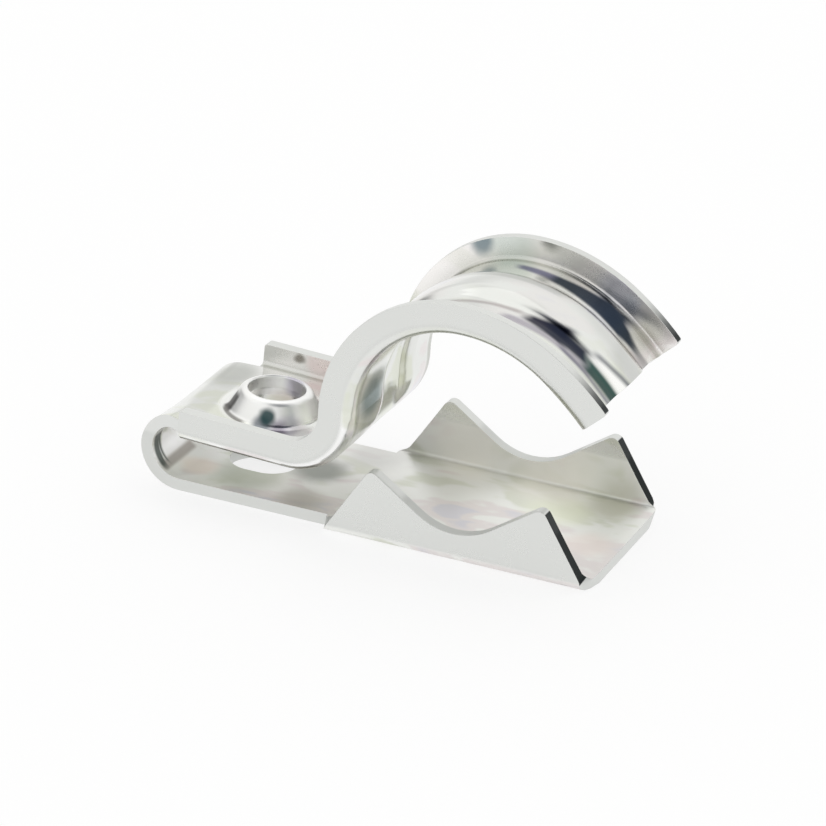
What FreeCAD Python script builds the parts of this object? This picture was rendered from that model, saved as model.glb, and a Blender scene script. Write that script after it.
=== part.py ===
import FreeCAD, Part
import math
import os
import Sketcher
from FreeCAD import Placement, Rotation, Vector

# A pipe clip folded from one strip of zinc plated steel sheet.
# Millimetres. X runs along the clip, Y across it, Z up. The origin is the axis of the
# bolt where it leaves the flat underside of the bottom plate.

os.makedirs("parts", exist_ok=True)
doc = FreeCAD.newDocument("pipe_clip")

# Sizes

sizes = doc.addObject("Spreadsheet::Sheet", "Sizes")

DRIVING = [
    ("sheet", 1.5, "thickness of the sheet"),
    ("clip_width", 25.0, "width over the side walls"),
    ("wall_reach", 2.5, "how far each side wall stands out from the plain strip"),
    ("bend_inside", 0.5, "inside radius of the side wall bends"),
    ("fold_lower", 3.7, "inside radius of the lower half of the hairpin fold"),
    ("fold_upper", 2.3, "inside radius of its upper half"),
    ("fold_reach", 12.85, "from the bolt axis back to the outside of the fold"),
    ("arm_pitch", 2.5, "degrees the flat of the arm falls away from the fold"),
    ("slot_width", 7.0, "width of the bolt slot in the bottom plate"),
    ("slot_travel", 1.6, "distance between the centres of the slot's two ends"),
    ("slot_shift", 1.1, "from the bolt axis back to the middle of the slot"),
    ("saddle_start", 12.0, "from the bolt axis to the start of the saddle"),
    ("saddle_length", 33.8, "length of the saddle along the plate"),
    ("saddle_lean", 57.8, "degrees of the sloping ends of the saddle walls"),
    ("end_draw", 0.75, "how far the side bends stop short of the end of the saddle"),
    ("floor_round", 0.7, "radius on the two corners at the end of the saddle"),
    ("vee_slope", 34.6, "degrees of the two sides of the pipe notch"),
    ("vee_bottom", 4.0, "height of the lowest point of the pipe notch"),
    ("vee_round", 8.0, "radius at the bottom of the pipe notch"),
    ("peak_round", 1.0, "radius on the peaks of the saddle walls"),
    ("arm_start", 6.9, "from the bolt axis back to the start of the arm walls"),
    ("arm_flat", 13.6, "length of the flat of the arm"),
    ("arm_wall", 4.15, "height of the arm walls from the pipe side"),
    ("corner_round", 0.4, "radius on the corners of the arm walls"),
    ("swan_radius", 8.3, "pipe side radius of the upward bend"),
    ("swan_plain", 42.0, "degrees of that bend before the rib begins"),
    ("riser_length", 0.6, "straight part between the upward bend and the arch"),
    ("back_radius", 12.5, "pipe side radius of the rear of the arch"),
    ("crown_radius", 17.0, "pipe side radius of the crown of the arch"),
    ("crown_turn", 37.4, "degrees of the crown"),
    ("lip_radius", 39.0, "pipe side radius of the free end of the arch"),
    ("lip_turn", 10.2, "degrees of the free end"),
    ("rib_rise", 1.1, "height of the rib"),
    ("rib_crest", 4.8, "width of the flat top of the rib"),
    ("rib_shift", 1.6, "from the middle of the strip to the middle of the rib"),
    ("rib_round", 0.8, "inside radius of the rib bends"),
    ("boss_height", 2.75, "height of the drawn collar above the sheet"),
    ("boss_foot", 11.6, "diameter of the collar where it leaves the sheet"),
    ("boss_top", 8.4, "diameter of the collar at its top"),
    ("boss_hole", 7.0, "hole through the collar"),
    ("boss_mouth", 9.4, "diameter of the collar's hollow on the pipe side"),
    ("boss_neck", 1.6, "length of the straight part of the hole"),
    ("foot_round", 0.8, "radius where the collar leaves the sheet"),
    ("rim_round", 0.4, "radius on the outside of the collar's rim"),
    ("lip_round", 0.25, "radius on the inside of the collar's rim"),
]

DERIVED = [
    ("strip_width", "clip_width - 2 * wall_reach"),
    ("half_strip", "strip_width / 2"),
    ("half_clip", "clip_width / 2"),
    ("bend_outside", "bend_inside + sheet"),
    ("bend_line", "half_clip - bend_outside"),
    ("wall_inner", "half_clip - sheet"),
    ("lower_outside", "fold_lower + sheet"),
    ("upper_outside", "fold_upper + sheet"),
    ("fold_back_out", "-fold_reach"),
    ("fold_back_in", "sheet - fold_reach"),
    ("lower_x", "lower_outside - fold_reach"),
    ("upper_x", "upper_outside - fold_reach"),
    ("pitch_sin", "sin(arm_pitch * 1deg)"),
    ("pitch_cos", "cos(arm_pitch * 1deg)"),
    ("turn_in_x", "upper_x + fold_upper * pitch_sin"),
    ("turn_in_z", "lower_outside + fold_upper * pitch_cos"),
    ("turn_out_x", "upper_x + upper_outside * pitch_sin"),
    ("turn_out_z", "lower_outside + upper_outside * pitch_cos"),
    ("overlap", "1"),
    ("plate_end", "saddle_start + overlap"),
    # Pipe side line of the arm, from the start of its walls to the free end
    ("start_x", "-arm_start"),
    ("start_z", "turn_in_z - (start_x - turn_in_x) / pitch_cos * pitch_sin"),
    ("over_in_x", "start_x + overlap * pitch_cos"),
    ("over_in_z", "start_z - overlap * pitch_sin"),
    ("over_out_x", "over_in_x + sheet * pitch_sin"),
    ("over_out_z", "over_in_z + sheet * pitch_cos"),
    ("swan_x", "start_x + arm_flat * pitch_cos"),
    ("swan_z", "start_z - arm_flat * pitch_sin"),
    ("swan_centre_x", "swan_x + swan_radius * pitch_sin"),
    ("swan_centre_z", "swan_z + swan_radius * pitch_cos"),
    ("rib_start_x", "swan_centre_x + swan_radius * sin(swan_plain * 1deg)"),
    ("rib_start_z", "swan_centre_z - swan_radius * cos(swan_plain * 1deg)"),
    ("riser_x", "swan_centre_x + swan_radius"),
    ("riser_top", "swan_centre_z + riser_length"),
    ("crown_x", "riser_x + back_radius"),
    ("crown_z", "riser_top + back_radius"),
    ("crown_centre_z", "crown_z - crown_radius"),
    ("lip_x", "crown_x + crown_radius * sin(crown_turn * 1deg)"),
    ("lip_z", "crown_centre_z + crown_radius * cos(crown_turn * 1deg)"),
    ("full_turn", "crown_turn + lip_turn"),
    ("lip_centre_x", "crown_x + (crown_radius - lip_radius) * sin(crown_turn * 1deg)"),
    ("lip_centre_z", "crown_centre_z + (crown_radius - lip_radius) * cos(crown_turn * 1deg)"),
    ("tip_x", "lip_centre_x + lip_radius * sin(full_turn * 1deg)"),
    ("tip_z", "lip_centre_z + lip_radius * cos(full_turn * 1deg)"),
    # Cross section of the rib
    ("rib_outer", "rib_round + sheet"),
    ("rib_cos", "1 - rib_rise / (rib_round + rib_outer)"),
    ("rib_sin", "sqrt(1 - rib_cos * rib_cos)"),
    ("rib_top", "rib_rise + sheet"),
    ("knee_in_z", "rib_rise - rib_round + rib_round * rib_cos"),
    ("knee_out_z", "rib_rise - rib_round + rib_outer * rib_cos"),
    ("far_crest", "rib_crest / 2 + rib_shift"),
    ("far_knee_in", "far_crest + rib_round * rib_sin"),
    ("far_knee_out", "far_crest + rib_outer * rib_sin"),
    ("far_foot", "far_knee_in + rib_outer * rib_sin"),
    ("near_crest", "rib_shift - rib_crest / 2"),
    ("near_knee_in", "near_crest - rib_round * rib_sin"),
    ("near_knee_out", "near_crest - rib_outer * rib_sin"),
    ("near_foot", "near_knee_in - rib_outer * rib_sin"),
    # Outline of the saddle walls
    ("saddle_end", "saddle_start + saddle_length"),
    ("saddle_mid", "saddle_start + saddle_length / 2"),
    ("lean_tan", "tan(saddle_lean * 1deg)"),
    ("vee_tan", "tan(vee_slope * 1deg)"),
    ("vee_cos", "cos(vee_slope * 1deg)"),
    ("vee_sin", "sin(vee_slope * 1deg)"),
    ("vee_point", "vee_bottom - vee_round * (1 / vee_cos - 1)"),
    ("peak_out", "(lean_tan * saddle_length / 2 - vee_point) / (lean_tan + vee_tan)"),
    ("peak_z", "vee_point + vee_tan * peak_out"),
    ("peak_length", "peak_round * tan((saddle_lean + vee_slope) / 2 * 1deg)"),
    ("lean_left_x", "saddle_mid - peak_out - peak_length * cos(saddle_lean * 1deg)"),
    ("lean_right_x", "saddle_mid + peak_out + peak_length * cos(saddle_lean * 1deg)"),
    ("lean_z", "peak_z - peak_length * sin(saddle_lean * 1deg)"),
    ("brow_left_x", "saddle_mid - peak_out + peak_length * vee_cos"),
    ("brow_right_x", "saddle_mid + peak_out - peak_length * vee_cos"),
    ("brow_z", "peak_z - peak_length * vee_sin"),
    ("dip_left_x", "saddle_mid - vee_round * vee_sin"),
    ("dip_right_x", "saddle_mid + vee_round * vee_sin"),
    ("dip_z", "vee_point + vee_round * vee_tan * vee_sin"),
    ("wall_blank", "peak_z + 1"),
    ("bend_end_x", "saddle_end - end_draw"),
    ("bend_end_z", "end_draw * lean_tan"),
    ("clear_left", "saddle_start - 1"),
    ("clear_right", "saddle_end + 1"),
    ("clear_top", "wall_blank + 1"),
    # Bolt slot in the plate
    ("slot_half", "slot_width / 2"),
    ("slot_rear", "-slot_shift - slot_travel / 2"),
    ("slot_front", "slot_travel / 2 - slot_shift"),
    ("slot_rear_end", "slot_rear - slot_half"),
    ("slot_front_end", "slot_front + slot_half"),
    # Drawn collar round the bolt
    ("web_z", "start_z - arm_start * pitch_sin / pitch_cos"),
    ("foot_half", "boss_foot / 2"),
    ("top_half", "boss_top / 2"),
    ("hole_half", "boss_hole / 2"),
    ("hole_lip_half", "hole_half + lip_round"),
    ("mouth_half", "boss_mouth / 2"),
    ("boss_rim", "sheet + boss_height"),
    ("hole_lip_z", "boss_rim - lip_round"),
    ("cone_angle", "atan(boss_height / (foot_half - top_half)) / 1deg"),
    ("foot_length", "foot_round * tan(cone_angle / 2 * 1deg)"),
    ("rim_length", "rim_round * tan(cone_angle / 2 * 1deg)"),
    ("foot_flat_x", "foot_half + foot_length"),
    ("foot_cone_x", "foot_half - foot_length * cos(cone_angle * 1deg)"),
    ("foot_cone_z", "sheet + foot_length * sin(cone_angle * 1deg)"),
    ("rim_cone_x", "top_half + rim_length * cos(cone_angle * 1deg)"),
    ("rim_cone_z", "boss_rim - rim_length * sin(cone_angle * 1deg)"),
    ("rim_flat_x", "top_half - rim_length"),
    ("web_mid", "sheet / 2"),
    ("neck_z", "boss_rim - boss_neck"),
    ("over_rim", "boss_rim + 1"),
    ("under_web", "0 - 1"),
]


def fill_sheet():
    row = 1
    for name, value, note in DRIVING:
        sizes.set(f"A{row}", name)
        sizes.set(f"B{row}", str(value))
        sizes.set(f"C{row}", note)
        sizes.setAlias(f"B{row}", name)
        row += 1
    doc.recompute()
    for name, formula in DERIVED:
        sizes.set(f"A{row}", name)
        sizes.set(f"B{row}", "=" + formula)
        sizes.setAlias(f"B{row}", name)
        doc.recompute()
        row += 1


def size(name):
    value = sizes.get(name)
    return float(getattr(value, "Value", value))


# Sketches: every corner is placed by the sheet, every arc takes its radius from it

body = doc.addObject("PartDesign::Body", "clip_strap")
body.Label = "clip_strap"


def origin_plane(role):
    return next(item for item in body.Origin.OriginFeatures if item.Role == role)


def new_sketch(name, plane, slide=None, angle=0.0, axis=Vector(0, 0, 1)):
    sketch = body.newObject("Sketcher::SketchObject", name)
    sketch.AttachmentSupport = [(origin_plane(plane), "")]
    sketch.MapMode = "FlatFace"
    slide = slide or {}
    start = Vector(*(size(slide[along]) if along in slide else 0.0 for along in "xyz"))
    sketch.AttachmentOffset = Placement(start, Rotation(axis, angle))
    for along, name_of_size in slide.items():
        sketch.setExpression(f"AttachmentOffset.Base.{along}", f"Sizes.{name_of_size}")
    return sketch


def reading(entry):
    if entry == 0:
        return 0.0
    return -size(entry[1:]) if entry.startswith("-") else size(entry)


def formula(entry):
    return f"-Sizes.{entry[1:]}" if entry.startswith("-") else f"Sizes.{entry}"


def centre_of(start, end, radius, side):
    middle = (start + end) * 0.5
    chord = end - start
    rise = math.sqrt(max(radius * radius - chord.Length ** 2 / 4, 0))
    across = Vector(-chord.y, chord.x, 0).normalize()
    return middle + across * (rise if side == "left" else -rise)


def add_piece(sketch, start, end, arc):
    if arc is None:
        return sketch.addGeometry(Part.LineSegment(start, end)), 1, 2
    radius = size(arc[0])
    centre = centre_of(start, end, radius, arc[1])
    first, last = (start, end) if arc[1] == "left" else (end, start)
    angle_first = math.atan2(first.y - centre.y, first.x - centre.x)
    angle_last = math.atan2(last.y - centre.y, last.x - centre.x)
    circle = Part.Circle(centre, Vector(0, 0, 1), radius)
    index = sketch.addGeometry(Part.ArcOfCircle(circle, angle_first, angle_last))
    return (index, 1, 2) if arc[1] == "left" else (index, 2, 1)


def place_point(sketch, index, end, across, up):
    for kind, axis, entry in (("DistanceX", -2, across), ("DistanceY", -1, up)):
        if entry == 0:
            sketch.addConstraint(Sketcher.Constraint("PointOnObject", index, end, axis))
            continue
        number = sketch.addConstraint(
            Sketcher.Constraint(kind, -1, 1, index, end, reading(entry)))
        sketch.setExpression(f"Constraints[{number}]", formula(entry))


def draw(sketch, corners, closed=True):
    """Corners are (across, up) or (across, up, radius, side of the centre)."""
    points = [Vector(reading(c[0]), reading(c[1]), 0) for c in corners]
    count = len(corners) if closed else len(corners) - 1
    pieces = []
    for i in range(count):
        arc = corners[i][2:] if len(corners[i]) > 2 else None
        pieces.append(add_piece(sketch, points[i], points[(i + 1) % len(points)], arc))
    for i in range(count if closed else count - 1):
        here, there = pieces[i], pieces[(i + 1) % count]
        sketch.addConstraint(
            Sketcher.Constraint("Coincident", here[0], here[2], there[0], there[1]))
    for i in range(count):
        place_point(sketch, pieces[i][0], pieces[i][1], corners[i][0], corners[i][1])
        if len(corners[i]) > 2:
            number = sketch.addConstraint(
                Sketcher.Constraint("Radius", pieces[i][0], size(corners[i][2])))
            sketch.setExpression(f"Constraints[{number}]", formula(corners[i][2]))
    if not closed:
        place_point(sketch, pieces[-1][0], pieces[-1][2], corners[-1][0], corners[-1][1])
    doc.recompute()


def other_side(entry):
    if entry.startswith("far_"):
        return "near_" + entry[4:]
    return entry[1:] if entry.startswith("-") else "-" + entry


def mirror_across(corners):
    """The same corners for the other half of a section, walked the opposite way."""
    flipped = []
    for i in range(len(corners) - 1, -1, -1):
        arc = corners[i - 1][2:] if i > 0 else ()
        flipped.append((other_side(corners[i][0]), corners[i][1]) + tuple(arc))
    return flipped


# Features

def check(feature):
    doc.recompute()
    shape = feature.Shape
    if "Invalid" in feature.State or "Error" in feature.State:
        raise RuntimeError(feature.Name + " did not build")
    if shape.isNull() or not shape.isValid() or shape.Volume <= 0:
        raise RuntimeError(feature.Name + " has no sound shape")
    print(f"{feature.Name}: {shape.Volume:.1f} mm3, {len(shape.Faces)} faces, {len(shape.Solids)} solid")
    return feature


def pad(name, sketch, length, both_ways=False):
    feature = body.newObject("PartDesign::Pad", name)
    feature.Profile = sketch
    feature.Length = size(length)
    feature.setExpression("Length", f"Sizes.{length}")
    feature.Midplane = both_ways
    return check(feature)


def pocket(name, sketch, length):
    feature = body.newObject("PartDesign::Pocket", name)
    feature.Profile = sketch
    feature.Length = size(length)
    feature.setExpression("Length", f"Sizes.{length}")
    return check(feature)


def sweep(name, sketch, path, further=None):
    feature = body.newObject("PartDesign::AdditivePipe", name)
    feature.Profile = sketch
    edges = [f"Edge{i + 1}" for i in range(len(path.Shape.Edges))]
    feature.Spine = (path, edges)
    feature.Mode = "Standard"
    if further:
        feature.Transformation = "Multisection"
        feature.Sections = further
    return check(feature)


def turned(name, kind, sketch):
    feature = body.newObject(kind, name)
    feature.Profile = sketch
    feature.ReferenceAxis = (sketch, ["V_Axis"])
    feature.Angle = 360
    return check(feature)


def strip():
    sketch = new_sketch("strip_side", "XZ_Plane")
    draw(sketch, [
        ("plate_end", 0),
        ("lower_x", 0, "lower_outside", "right"),
        ("fold_back_out", "lower_outside", "upper_outside", "right"),
        ("turn_out_x", "turn_out_z"),
        ("over_out_x", "over_out_z"),
        ("over_in_x", "over_in_z"),
        ("turn_in_x", "turn_in_z", "fold_upper", "left"),
        ("fold_back_in", "lower_outside", "fold_lower", "left"),
        ("lower_x", "sheet"),
        ("plate_end", "sheet"),
    ])
    pad("plate_and_fold", sketch, "strip_width", both_ways=True)


def wall_half(height):
    """Right half of a channel section, from the floor's underside to its top."""
    return [
        ("bend_line", 0, "bend_outside", "left"),
        ("half_clip", "bend_outside"),
        ("half_clip", height),
        ("wall_inner", height),
        ("wall_inner", "bend_outside", "bend_inside", "right"),
        ("bend_line", "sheet"),
    ]


def at_floor_corner(edge):
    middle = edge.CenterOfMass
    box = edge.BoundBox
    upright = abs(box.ZLength - size("sheet")) < 0.01 and box.DiagonalLength < size("sheet") + 0.01
    at_end = abs(middle.x - size("saddle_end")) < 0.01
    return upright and at_end and abs(abs(middle.y) - size("half_strip")) < 0.01


def saddle():
    section = new_sketch("saddle_section", "YZ_Plane", {"z": "saddle_start"})
    half = wall_half("wall_blank")
    draw(section, half + mirror_across(half))
    pad("saddle_channel", section, "saddle_length")
    outline = new_sketch("saddle_outline", "XZ_Plane", {"z": "half_clip"})
    draw(outline, [
        ("saddle_start", 0),
        ("lean_left_x", "lean_z", "peak_round", "right"),
        ("brow_left_x", "brow_z"),
        ("dip_left_x", "dip_z", "vee_round", "left"),
        ("dip_right_x", "dip_z"),
        ("brow_right_x", "brow_z", "peak_round", "right"),
        ("lean_right_x", "lean_z"),
        ("bend_end_x", "bend_end_z"),
        ("bend_end_x", 0),
        ("clear_right", 0),
        ("clear_right", "clear_top"),
        ("clear_left", "clear_top"),
        ("clear_left", 0),
    ])
    near = pocket("saddle_wall_cut", outline, "wall_reach")
    both = body.newObject("PartDesign::Mirrored", "saddle_walls")
    both.Originals = [near]
    both.MirrorPlane = (origin_plane("XZ_Plane"), [""])
    body.Tip = both
    check(both)
    round_corners("floor_corners", "floor_round", at_floor_corner)


def bolt_slot():
    sketch = new_sketch("bolt_slot_outline", "XY_Plane")
    draw(sketch, [
        ("slot_rear", "-slot_half"),
        ("slot_front", "-slot_half", "slot_half", "left"),
        ("slot_front_end", 0, "slot_half", "left"),
        ("slot_front", "slot_half"),
        ("slot_rear", "slot_half", "slot_half", "left"),
        ("slot_rear_end", 0, "slot_half", "left"),
    ])
    feature = body.newObject("PartDesign::Pocket", "bolt_slot")
    feature.Profile = sketch
    feature.Reversed = True
    feature.Length = size("sheet")
    feature.setExpression("Length", "Sizes.sheet")
    check(feature)


def rib_half(flat):
    """Far half of the web, from the rib out to its foot, on the pipe side and on top."""
    if flat:
        low = [("far_crest", 0), ("far_knee_in", 0), ("far_foot", 0)]
        high = [("far_foot", "sheet"), ("far_knee_out", "sheet"), ("far_crest", "sheet")]
        return low, high
    low = [
        ("far_crest", "rib_rise", "rib_round", "right"),
        ("far_knee_in", "knee_in_z", "rib_outer", "left"),
        ("far_foot", 0),
    ]
    high = [
        ("far_foot", "sheet", "rib_round", "right"),
        ("far_knee_out", "knee_out_z", "rib_outer", "left"),
        ("far_crest", "rib_top"),
    ]
    return low, high


def arm_section(name, slide, angle, flat):
    sketch = new_sketch(name, "YZ_Plane", slide, angle, Vector(1, 0, 0))
    low, high = rib_half(flat)
    half = low + wall_half("arm_wall") + high
    draw(sketch, half + mirror_across(half))
    return sketch


def arm():
    flat_path = new_sketch("flat_path", "XZ_Plane")
    draw(flat_path, [
        ("start_x", "start_z"),
        ("swan_x", "swan_z", "swan_radius", "left"),
        ("rib_start_x", "rib_start_z"),
    ], closed=False)
    swan_path = new_sketch("swan_path", "XZ_Plane")
    draw(swan_path, [
        ("rib_start_x", "rib_start_z", "swan_radius", "left"),
        ("riser_x", "swan_centre_z"),
    ], closed=False)
    arch_path = new_sketch("arch_path", "XZ_Plane")
    draw(arch_path, [
        ("riser_x", "swan_centre_z"),
        ("riser_x", "riser_top", "back_radius", "right"),
        ("crown_x", "crown_z", "crown_radius", "right"),
        ("lip_x", "lip_z", "lip_radius", "right"),
        ("tip_x", "tip_z"),
    ], closed=False)
    plain = arm_section("arm_start_section", {"y": "start_z", "z": "start_x"},
                        size("arm_pitch"), flat=True)
    plain.setExpression("AttachmentOffset.Rotation.Angle", "Sizes.arm_pitch * 1deg")
    fading = arm_section("rib_start_section", {"y": "rib_start_z", "z": "rib_start_x"},
                         -size("swan_plain"), flat=True)
    fading.setExpression("AttachmentOffset.Rotation.Angle", "-Sizes.swan_plain * 1deg")
    ribbed = arm_section("riser_section", {"y": "swan_centre_z", "z": "riser_x"},
                         -90.0, flat=False)
    sweep("arm_flat", plain, flat_path)
    sweep("arm_swan", fading, swan_path, [ribbed])
    sweep("arm_arch", ribbed, arch_path)


def collar():
    place = {"y": "web_z"}
    outside = new_sketch("collar_outside", "XZ_Plane", place, -size("arm_pitch"))
    outside.setExpression("AttachmentOffset.Rotation.Angle", "-Sizes.arm_pitch * 1deg")
    draw(outside, [
        (0, "web_mid"),
        ("foot_flat_x", "web_mid"),
        ("foot_flat_x", "sheet", "foot_round", "right"),
        ("foot_cone_x", "foot_cone_z"),
        ("rim_cone_x", "rim_cone_z", "rim_round", "left"),
        ("rim_flat_x", "boss_rim"),
        (0, "boss_rim"),
    ])
    turned("collar_drawn", "PartDesign::Revolution", outside)
    inside = new_sketch("collar_inside", "XZ_Plane", place, -size("arm_pitch"))
    inside.setExpression("AttachmentOffset.Rotation.Angle", "-Sizes.arm_pitch * 1deg")
    draw(inside, [
        (0, "under_web"),
        ("mouth_half", "under_web"),
        ("mouth_half", 0),
        ("hole_half", "neck_z"),
        ("hole_half", "hole_lip_z", "lip_round", "right"),
        ("hole_lip_half", "boss_rim"),
        ("hole_lip_half", "over_rim"),
        (0, "over_rim"),
    ])
    turned("collar_hollow", "PartDesign::Groove", inside)


def round_corners(name, radius, wanted):
    base = body.Tip
    edges = [f"Edge{i + 1}" for i, edge in enumerate(base.Shape.Edges) if wanted(edge)]
    print(name, len(edges), "edges")
    feature = body.newObject("PartDesign::Fillet", name)
    feature.Base = (base, edges)
    feature.Radius = size(radius)
    feature.setExpression("Radius", f"Sizes.{radius}")
    return check(feature)


def across_edge_at(point):
    def wanted(edge):
        middle = edge.CenterOfMass
        straight = abs(edge.Length - size("sheet")) < 0.01
        beside = abs(abs(middle.y) - (size("half_clip") + size("wall_inner")) / 2) < 0.01
        return straight and beside and math.hypot(middle.x - point[0], middle.z - point[1]) < 0.3
    return wanted


def wall_corners():
    rise = size("arm_wall")
    pitch = math.radians(size("arm_pitch"))
    rear = (size("start_x") + rise * math.sin(pitch), size("start_z") + rise * math.cos(pitch))
    turn = math.radians(size("full_turn"))
    tip = (size("tip_x") + rise * math.sin(turn), size("tip_z") + rise * math.cos(turn))
    round_corners("rear_corners", "corner_round", across_edge_at(rear))
    round_corners("tip_corners", "corner_round", across_edge_at(tip))


fill_sheet()
strip()
saddle()
bolt_slot()
arm()
collar()
wall_corners()

for item in doc.Objects:
    if "Invalid" in item.State or "Error" in item.State:
        raise RuntimeError(item.Name + " is not sound")

shape = body.Shape
if shape.isNull() or not shape.isValid() or len(shape.Solids) != 1:
    raise RuntimeError("the strap is not one sound solid")
box = shape.BoundBox
for along in "XYZ":
    low, high = getattr(box, along + "Min"), getattr(box, along + "Max")
    print(f"{along} from {low:.2f} to {high:.2f} mm")
shape.exportStep("parts/clip_strap.step")
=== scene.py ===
# %% [markdown]
# # A folded pipe clip in zinc plated steel
# The clip is one strip of sheet. Its arm stands over the plate on a hairpin fold, its
# ribbed arch goes over a pipe, and a notched saddle holds the pipe from below. This
# lesson models the strip the way it is pressed, gives it a bright plated finish, and
# sets a small studio round it.

# %% Load the frame that the clip is measured in
import math

import bmesh
import bpy
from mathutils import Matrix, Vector


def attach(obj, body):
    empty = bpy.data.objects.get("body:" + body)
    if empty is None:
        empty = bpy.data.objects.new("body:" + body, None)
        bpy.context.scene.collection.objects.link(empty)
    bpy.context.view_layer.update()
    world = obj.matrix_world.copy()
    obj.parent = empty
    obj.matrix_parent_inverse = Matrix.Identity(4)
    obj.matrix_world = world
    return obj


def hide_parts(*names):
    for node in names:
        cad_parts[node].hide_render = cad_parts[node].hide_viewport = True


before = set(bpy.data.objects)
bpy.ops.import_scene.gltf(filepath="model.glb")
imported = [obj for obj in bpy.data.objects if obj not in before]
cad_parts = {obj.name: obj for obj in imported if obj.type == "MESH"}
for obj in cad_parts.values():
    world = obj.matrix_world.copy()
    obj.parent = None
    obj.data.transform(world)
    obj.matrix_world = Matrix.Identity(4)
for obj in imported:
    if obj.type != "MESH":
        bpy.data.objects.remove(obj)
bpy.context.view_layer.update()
bpy.ops.object.select_all(action="DESELECT")

# %% [markdown]
# ## Sizes
# The strip is modelled in millimetres, one Blender unit for each, because the mesh
# tools have tolerances made for things of about that size. The finished mesh is
# scaled down to metres in one step. These are the sizes that the press tool would have.

# %% Sizes of the strip and its bends
MM = 0.001
SHEET = 1.5
HALF_STRIP = 10.0
HALF_WIDTH = 12.5
BEND_INSIDE = 0.5
BEND_OUTSIDE = BEND_INSIDE + SHEET
BEND_LINE = HALF_WIDTH - BEND_OUTSIDE
FOLD_BACK = -12.85
FOLD_LOWER = 3.7 + SHEET
FOLD_UPPER = 2.3 + SHEET
PITCH_DEGREES = 2.5
PITCH = math.radians(PITCH_DEGREES)
ARM_UNDER = 7.1071
ARM_REAR = -6.907
ARM_LENGTH = 13.6
ARM_FRONT = ARM_REAR + ARM_LENGTH
WALL_TOP = 4.15
WALL_RISE = WALL_TOP - SHEET
print("sheet", SHEET, "mm, strip", 2 * HALF_STRIP, "mm, over its walls", 2 * HALF_WIDTH, "mm")

# %% Centres that the bends turn about, as (x, z), and the angle of each in degrees
SWAN_CENTRE = (7.049, 15.107)
SWAN_TURN = 90 + PITCH_DEGREES
RISER = 0.6
CROWN_CENTRE = (27.849, 11.207)
CROWN_TURN = 37.4
BACK_CENTRE = (CROWN_CENTRE[0], SWAN_CENTRE[1] + RISER)
LIP_CENTRE = (14.486, -6.270)
LIP_TURN = 10.2
LIP_UNDER = 39.0
ARCH_END = CROWN_TURN + LIP_TURN
print("the arch ends", round(ARCH_END, 1), "degrees past its crown")

# %% Sizes of the rib that stiffens the arch
RIB_RISE = 1.1
RIB_MIDDLE = 1.2
RIB_CREST = 1.7
RIB_KNEE = 3.2
RIB_FOOT = 2.2
RIB_DOME = 0.06
CREST_STEPS, KNEE_STEPS, FOOT_STEPS = 2, 5, 4
RIB_LEAN = math.acos(1 - RIB_RISE / (RIB_KNEE + RIB_FOOT))


def rib_shares():
    """Distance from the middle of the rib and share of its height, from crest to foot."""
    flat = [(RIB_CREST * step / CREST_STEPS, 1 - RIB_DOME * (step / CREST_STEPS) ** 2)
            for step in range(CREST_STEPS + 1)]
    knee = [(RIB_CREST + RIB_KNEE * math.sin(lean),
             1 - RIB_KNEE * (1 - math.cos(lean)) / RIB_RISE)
            for lean in (RIB_LEAN * step / KNEE_STEPS for step in range(1, KNEE_STEPS + 1))]
    foot_line = RIB_CREST + (RIB_KNEE + RIB_FOOT) * math.sin(RIB_LEAN)
    foot = [(foot_line - RIB_FOOT * math.sin(lean), RIB_FOOT * (1 - math.cos(lean)) / RIB_RISE)
            for lean in (RIB_LEAN * step / FOOT_STEPS for step in reversed(range(FOOT_STEPS)))]
    return flat + [(away, share * (1 - RIB_DOME)) for away, share in knee + foot]


RIB_SHARES = rib_shares()
RIB_COLUMNS = sorted({round(RIB_MIDDLE + side * away, 4)
                      for away, _ in RIB_SHARES for side in (-1, 1)})
NEAR_COLUMNS = [-8.3, -6.6, -4.9]
FAR_COLUMN = 8.2
COLUMNS = NEAR_COLUMNS + RIB_COLUMNS + [FAR_COLUMN]
print(len(COLUMNS), "cuts along the strip between its edges")

# %% Helpers that pick parts of the mesh that is being edited, and describe it
HAIR = 0.00001
strip = None


def mesh_now():
    """The mesh that is being edited."""
    return bmesh.from_edit_mesh(strip.data)


def pick(kind, wanted):
    """Selects only the vertices, edges or faces for which wanted(element) is true."""
    bpy.ops.mesh.select_mode(type=kind)
    bpy.ops.mesh.select_all(action="DESELECT")
    mesh = mesh_now()
    elements = {"VERT": mesh.verts, "EDGE": mesh.edges, "FACE": mesh.faces}[kind]
    chosen = [element for element in elements if wanted(element)]
    for element in chosen:
        element.select_set(True)
    bmesh.update_edit_mesh(strip.data)
    return len(chosen)


def middle(element):
    """Middle of a face or of an edge."""
    if isinstance(element, bmesh.types.BMFace):
        return element.calc_center_median()
    return (element.verts[0].co + element.verts[1].co) / 2


def near(value, target, slack=0.002):
    """True when two sizes are the same but for rounding, or for a given slack."""
    return abs(value - target) < slack


def stretch(move):
    """Extrudes the selected edges along a straight way."""
    bpy.ops.mesh.extrude_edges_move(TRANSFORM_OT_translate={"value": move})


def bend(centre, degrees, steps, axis=(0, -1, 0)):
    """Spins the selected edges about an axis, right-handed, and leaves the new end selected."""
    bpy.ops.mesh.spin(steps=steps, angle=-math.radians(degrees), center=centre, axis=axis,
                      use_auto_merge=False)


def cut(place, normal):
    """Cuts the whole sheet along a plane."""
    bpy.ops.mesh.select_all(action="SELECT")
    bpy.ops.mesh.bisect(plane_co=place, plane_no=normal, threshold=HAIR)


print("cuts closer than", HAIR, "mm to a vertex run through it")

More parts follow.
